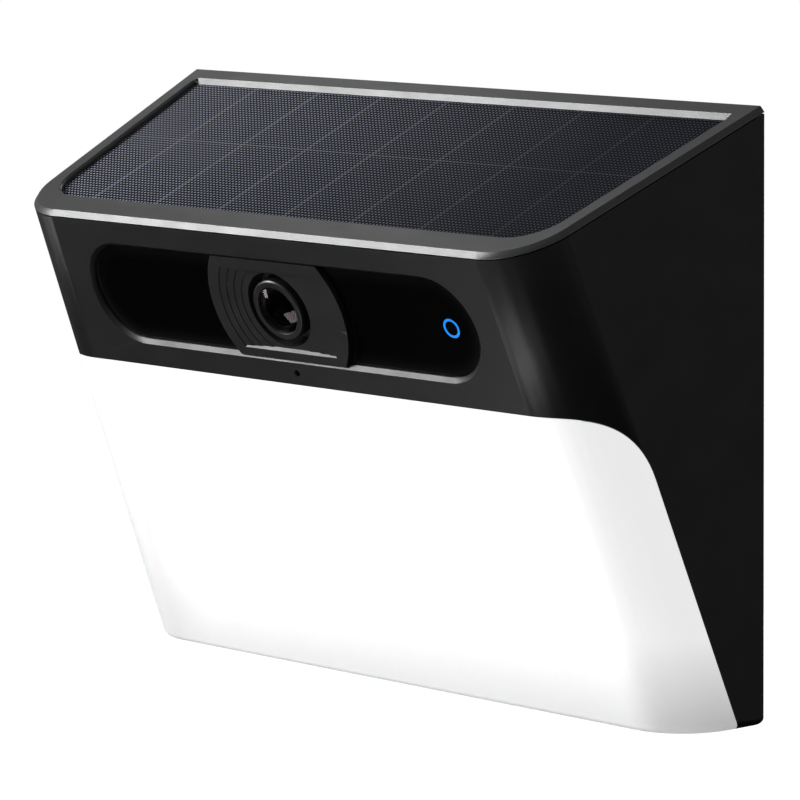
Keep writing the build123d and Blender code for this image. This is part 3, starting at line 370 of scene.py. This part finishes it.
BLACK = (0.0190, 0.0190, 0.0195)
SATIN = {"rough": 0.38, "grain": 0.20 * MM, "depth": 0.006 * MM, "wear": 0.25, "specular": 0.38, "patch": 0.06}
MATERIALS = {
    "satin_black": moulded("satin_black", BLACK, **SATIN),
    # bezel_black gets painted shade: ambient occlusion darkens the bezel's hollows.
    "bezel_black": moulded("bezel_black", BLACK, painted_shade_reach=1.6 * MM, **SATIN),
    "frame_grey": frame_coat("frame_grey"),
    "opal": opal("opal"),
    "bracket_steel": moulded("bracket_steel", (0.05, 0.05, 0.052), rough=0.5, grain=0.5 * MM,
                             depth=0.03 * MM, wear=0.6, dust=0.15),
    "steel": metal("steel", (0.56, 0.56, 0.57), rough=0.28, stretch=(1, 1, 40)),
    "inner_black": moulded("inner_black", (0.03, 0.03, 0.032), rough=0.6, grain=0.45 * MM, depth=0.03 * MM),
    "seal_rubber": moulded("seal_rubber", (0.025, 0.025, 0.025), rough=0.75, grain=0.3 * MM,
                           depth=0.02 * MM, wear=0.1, dust=0.2),
    "cell_black": gloss("cell_black", (0.012, 0.014, 0.024), rough=0.15, coat=0.3),
    "backing_black": moulded("backing_black", (0.02, 0.02, 0.024), rough=0.45, grain=0.4 * MM),
    "window_black": window("window_black", (0.0022, 0.0022, 0.0025)),
    "status_blue": glowing("status_blue", (0.008, 0.20, 0.70), 0.9),
    "lens_glass": lens_glass("lens_glass", 105.0),
    "lens_element_painted_glints": lens_element_painted_glints("lens_element_painted_glints", (0.02, 0.42, 0.95)),
    "barrel_black": moulded("barrel_black", (0.012, 0.012, 0.013), rough=0.36, grain=0.15 * MM,
                            depth=0.004 * MM, wear=0.3, specular=0.6),
    "silicon": gloss("silicon", (0.10, 0.07, 0.16), rough=0.1),
    "board_green": circuit_board("board_green", (0.012, 0.10, 0.05)),
    "board_white": circuit_board("board_white", (0.75, 0.75, 0.73)),
    "emitter_clear": gloss("emitter_clear", (0.22, 0.22, 0.25), rough=0.08),
    "led_yellow": glowing("led_yellow", (0.85, 0.70, 0.22), 0.1),
    "reflector_white": moulded("reflector_white", (0.88, 0.88, 0.88), rough=0.4, grain=0.2 * MM,
                               depth=0.01 * MM, wear=0.0, patch=0.03),
    "chassis_aluminium": metal("chassis_aluminium", (0.62, 0.63, 0.65), rough=0.35, stretch=(1, 40, 40)),
    "can_steel": metal("can_steel", (0.6, 0.6, 0.6), rough=0.25, stretch=(1, 1, 30)),
    "chip_black": moulded("chip_black", (0.02, 0.02, 0.021), rough=0.55, grain=0.15 * MM, depth=0.01 * MM),
    "copper_film": metal("copper_film", (0.75, 0.42, 0.24), rough=0.3, stretch=(1, 1, 20)),
    "cell_wrap": gloss("cell_wrap", (0.03, 0.16, 0.42), rough=0.18, coat=0.4),
    "port_steel": metal("port_steel", (0.72, 0.72, 0.73), rough=0.2, stretch=(1, 1, 30)),
    "ribbon_amber": gloss("ribbon_amber", (0.42, 0.20, 0.03), rough=0.2, coat=0.3),
    "mesh_grey": woven("mesh_grey", (0.06, 0.06, 0.062), 0.25 * MM),
    "solar_sheet": solar_sheet_material("solar_sheet"),
}


def wear(obj, material):
    obj.data.materials.clear()
    obj.data.materials.append(MATERIALS[material])


for part in frame["record"]["subparts"]:
    wear(NODES[part["node"]], part["material_slot"])
wear(NODES["lens_group"], "lens_element_painted_glints")


# ---- softened edges on the visible CAD pieces ---------------------------------------------------
SHARP_ANGLE = math.radians(30)
WELD_DISTANCE = 1e-6


def soften(node, width, segments=2):
    """Joins the imported faces, then rounds the sharp edges slightly."""
    obj = NODES[node]
    weld = obj.modifiers.new("join", "WELD")
    weld.merge_threshold = WELD_DISTANCE
    bevel = obj.modifiers.new("edge", "BEVEL")
    bevel.width = width
    bevel.segments = segments
    bevel.limit_method = "ANGLE"
    bevel.angle_limit = SHARP_ANGLE
    bevel.harden_normals = True
    bevel.use_clamp_overlap = True


soften("housing", 0.22 * MM)
soften("diffuser", 0.30 * MM, 3)
soften("solar_frame", 0.15 * MM)
soften("lens_barrel", 0.08 * MM)
soften("lens_bezel", 0.10 * MM)
soften("wall_bracket", 0.25 * MM)
soften("usb_cover", 0.15 * MM)


# ---- new pieces ---------------------------------------------------------------------------------
def new_piece(name, mesh, material, body="unit"):
    data = bpy.data.meshes.new(name)
    mesh.normal_update()
    mesh.to_mesh(data)
    mesh.free()
    obj = bpy.data.objects.new(name, data)
    bpy.context.scene.collection.objects.link(obj)
    obj.data.materials.append(MATERIALS[material])
    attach(obj, body)
    return obj


def solar_sheet():
    """The thin embossed sheet over the cells, filling the frame's opening."""
    side = 4.9 * MM
    back = 5.5 * MM
    front = 63.4 * MM
    radius = 10.4 * MM
    sink = 1.34 * MM
    arc_steps = 12

    def half(reach):
        """Half the width of the opening, this far down the slope."""
        return HALF_W - reach * math.cos(SLOPE) * math.tan(TAPER) - side / math.cos(TAPER)

    lean = math.atan((half(back) - half(front)) / (front - back))
    turn = math.pi / 2 - lean
    set_in = radius * math.tan(turn / 2)
    corner = Vector((half(front), -front))
    along = Vector((math.sin(lean), math.cos(lean)))
    start = corner + along * set_in
    stop = corner - Vector((1, 0)) * set_in
    centre = Vector((stop.x, -front + radius))
    first = math.atan2(start.y - centre.y, start.x - centre.x)
    right = [Vector((half(back), -back))]
    for step in range(arc_steps + 1):
        angle = first + (-math.pi / 2 - first) * step / arc_steps
        right.append(centre + radius * Vector((math.cos(angle), math.sin(angle))))
    outline = right + [Vector((-p.x, p.y)) for p in reversed(right)]
    mesh = bmesh.new()
    ring = [mesh.verts.new(TOP @ Vector((p.x, p.y, -sink))) for p in outline]
    face = mesh.faces.new(ring)
    bmesh.ops.recalc_face_normals(mesh, faces=[face])
    obj = new_piece("solar_sheet", mesh, "solar_sheet")
    solid = obj.modifiers.new("thickness", "SOLIDIFY")
    solid.thickness = 0.05 * MM
    solid.offset = 0


solar_sheet()


def light_baffle():
    """A thin black sheet behind the block of the locking screw that stands in for shade: it keeps the light
    off the joint there.
    """
    half = 15.2 * MM
    low, high = -0.0650, -0.0530
    back = -0.0074
    fold = 2.0 * MM
    profile = [(-half, back - fold), (-half, back), (half, back), (half, back - fold)]
    mesh = bmesh.new()
    rows = [[mesh.verts.new((x, y, z)) for x, y in profile] for z in (low, high)]
    for index in range(len(profile) - 1):
        mesh.faces.new((rows[0][index], rows[0][index + 1], rows[1][index + 1], rows[1][index]))
    obj = new_piece("light_baffle", mesh, "inner_black")
    solid = obj.modifiers.new("thickness", "SOLIDIFY")
    solid.thickness = 0.4 * MM
    edge = obj.modifiers.new("edge", "BEVEL")
    edge.width = 0.1 * MM
    edge.segments = 2


light_baffle()

# ---- stage, lights, camera ------------------------------------------------------------------------
FLOOR_SIZE = 6.0
FLOOR_Z = -1.6
floor_data = bpy.data.meshes.new("floor")
sheet = bmesh.new()
bmesh.ops.create_grid(sheet, x_segments=1, y_segments=1, size=FLOOR_SIZE)
sheet.to_mesh(floor_data)
sheet.free()
floor = bpy.data.objects.new("floor", floor_data)
floor.location = (0, 0, FLOOR_Z)
bpy.context.scene.collection.objects.link(floor)
pale = Shader("pale_floor")
pale.set(Base_Color=pale.mix(pale.remap(pale.noise(0.6, 2), 0.3, 0.7, 0, 1), (0.93, 0.93, 0.93, 1),
                             (0.95, 0.95, 0.95, 1)), Roughness=0.9, Specular_IOR_Level=0.1,
         Emission_Color=(1, 1, 1, 1), Emission_Strength=0.95)
floor.data.materials.append(pale.mat)
floor.visible_glossy = False
floor.visible_shadow = False
floor.visible_diffuse = False
floor.visible_transmission = False


def softbox(name, at, size, power, aim=(0, -0.03, 0.0)):
    """An area light at a place, turned towards aim; the camera doesn't see it."""
    light = bpy.data.lights.new(name, "AREA")
    light.shape = "RECTANGLE"
    light.size, light.size_y = size
    light.energy = power
    obj = bpy.data.objects.new(name, light)
    obj.location = at
    obj.rotation_mode = "QUATERNION"
    obj.rotation_quaternion = (Vector(aim) - Vector(at)).to_track_quat("-Z", "Y")
    obj.visible_camera = False
    bpy.context.scene.collection.objects.link(obj)


softbox("key", (-0.70, -0.62, 0.44), (0.40, 0.40), 9.0)
softbox("high_left", (-0.84, 0.46, 0.74), (0.16, 0.16), 0.12)
softbox("low_left", (-0.60, -0.33, -0.11), (0.10, 0.16), 0.30, (0, -0.07, 0.02))
softbox("corner_strip", (-0.07, -0.344, -0.31), (0.32, 0.12), 0.50, (0.075, -0.05, 0.01))
softbox("back_fill", (-0.25, 1.3, 0.35), (0.9, 0.9), 14.0)
softbox("side_fill", (0.9, 0.45, 0.05), (0.5, 0.8), 0.22)

# The room is darker below and lighter above; the camera itself sees plain white behind the object.
world = bpy.data.worlds.new("studio")
world.use_nodes = True
bpy.context.scene.world = world
links, sky = world.node_tree.links, world.node_tree.nodes
height = sky.new("ShaderNodeSeparateXYZ")
links.new(sky.new("ShaderNodeTexCoord").outputs["Generated"], height.inputs[0])
shade_of_room = sky.new("ShaderNodeMapRange")
for socket, value in (("From Min", -0.45), ("From Max", 0.5), ("To Min", 0.0), ("To Max", 0.20)):
    shade_of_room.inputs[socket].default_value = value
links.new(height.outputs["Z"], shade_of_room.inputs["Value"])
room = sky["Background"]
room.inputs["Color"].default_value = (1, 1, 1, 1)
links.new(shade_of_room.outputs[0], room.inputs["Strength"])
backdrop = sky.new("ShaderNodeBackground")
backdrop.inputs["Color"].default_value = (1, 1, 1, 1)
backdrop.inputs["Strength"].default_value = 1.0
path = sky.new("ShaderNodeLightPath")
join = sky.new("ShaderNodeMixShader")
links.new(path.outputs["Is Camera Ray"], join.inputs[0])
links.new(room.outputs[0], join.inputs[1])
links.new(backdrop.outputs[0], join.inputs[2])
links.new(join.outputs[0], sky["World Output"].inputs[0])

CAMERA_AT = (0.7040, -0.7248, 0.1454)
FOCAL_LENGTH = 200.11
YAW = math.radians(45)
PITCH = math.radians(8.436)
ROLL = math.radians(0.621)
forward = Vector((-math.sin(YAW) * math.cos(PITCH), math.cos(YAW) * math.cos(PITCH), -math.sin(PITCH)))
level = Vector((math.cos(YAW), math.sin(YAW), 0))
down = forward.cross(level)
right = level * math.cos(ROLL) + down * math.sin(ROLL)
up = right.cross(forward)
camera = bpy.data.objects.new("camera", bpy.data.cameras.new("camera"))
camera.data.lens = FOCAL_LENGTH
camera.data.sensor_width = 36.0
camera.data.clip_start = 0.05
camera.matrix_world = Matrix.Translation(CAMERA_AT) @ Matrix((right, up, -forward)).transposed().to_4x4()
bpy.context.scene.collection.objects.link(camera)
bpy.context.scene.camera = camera
bpy.context.scene.view_settings.view_transform = "Standard"
